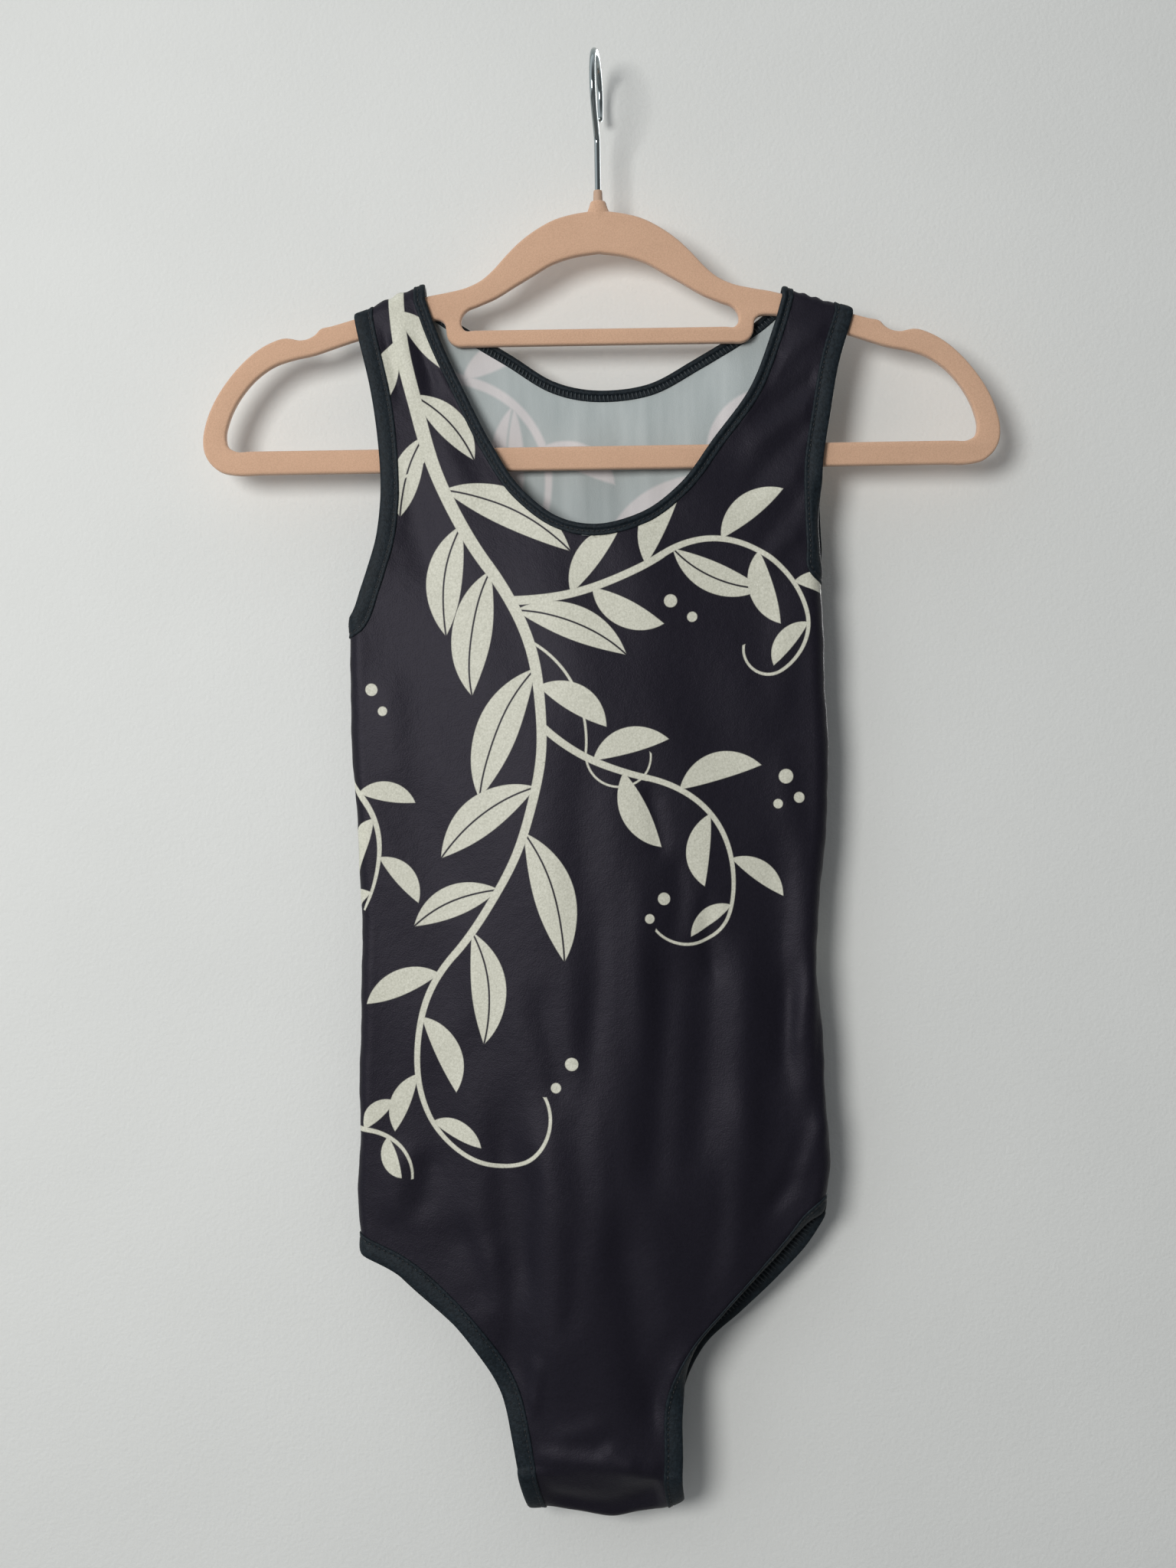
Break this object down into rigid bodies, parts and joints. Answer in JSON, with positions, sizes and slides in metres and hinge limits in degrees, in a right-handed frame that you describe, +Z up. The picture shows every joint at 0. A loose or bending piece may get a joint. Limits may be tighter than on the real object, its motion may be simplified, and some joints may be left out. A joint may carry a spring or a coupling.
{
  "type": "leotard on a hanger",
  "caption": "Sleeveless stretch leotard with bound neck, armholes and legs, hanging on a flocked clothes hanger with a wire hook.",
  "frame": {"origin": "the inside top of the hook, where it rests on the rail", "axes": "+Z up, +X to the right of the front view, +Y from the front panel to the back panel"},
  "size_m": [0.445, 0.0444, 0.8208],
  "materials": {
    "panel_cloth": "matte stretch jersey, near black, with a pale print",
    "binding_cloth": "folded stretch strip, dark blue green",
    "flock": "velvet flocking, blush",
    "chrome": "polished wire"
  },
  "bodies": {
    "root": {"front_panel": "panel_cloth", "back_panel": "panel_cloth", "neck_binding": "binding_cloth", "left_armhole_binding": "binding_cloth", "right_armhole_binding": "binding_cloth", "left_leg_binding": "binding_cloth", "right_leg_binding": "binding_cloth", "hanger_body": "flock", "hook": "chrome"}
  },
  "joints": []
}
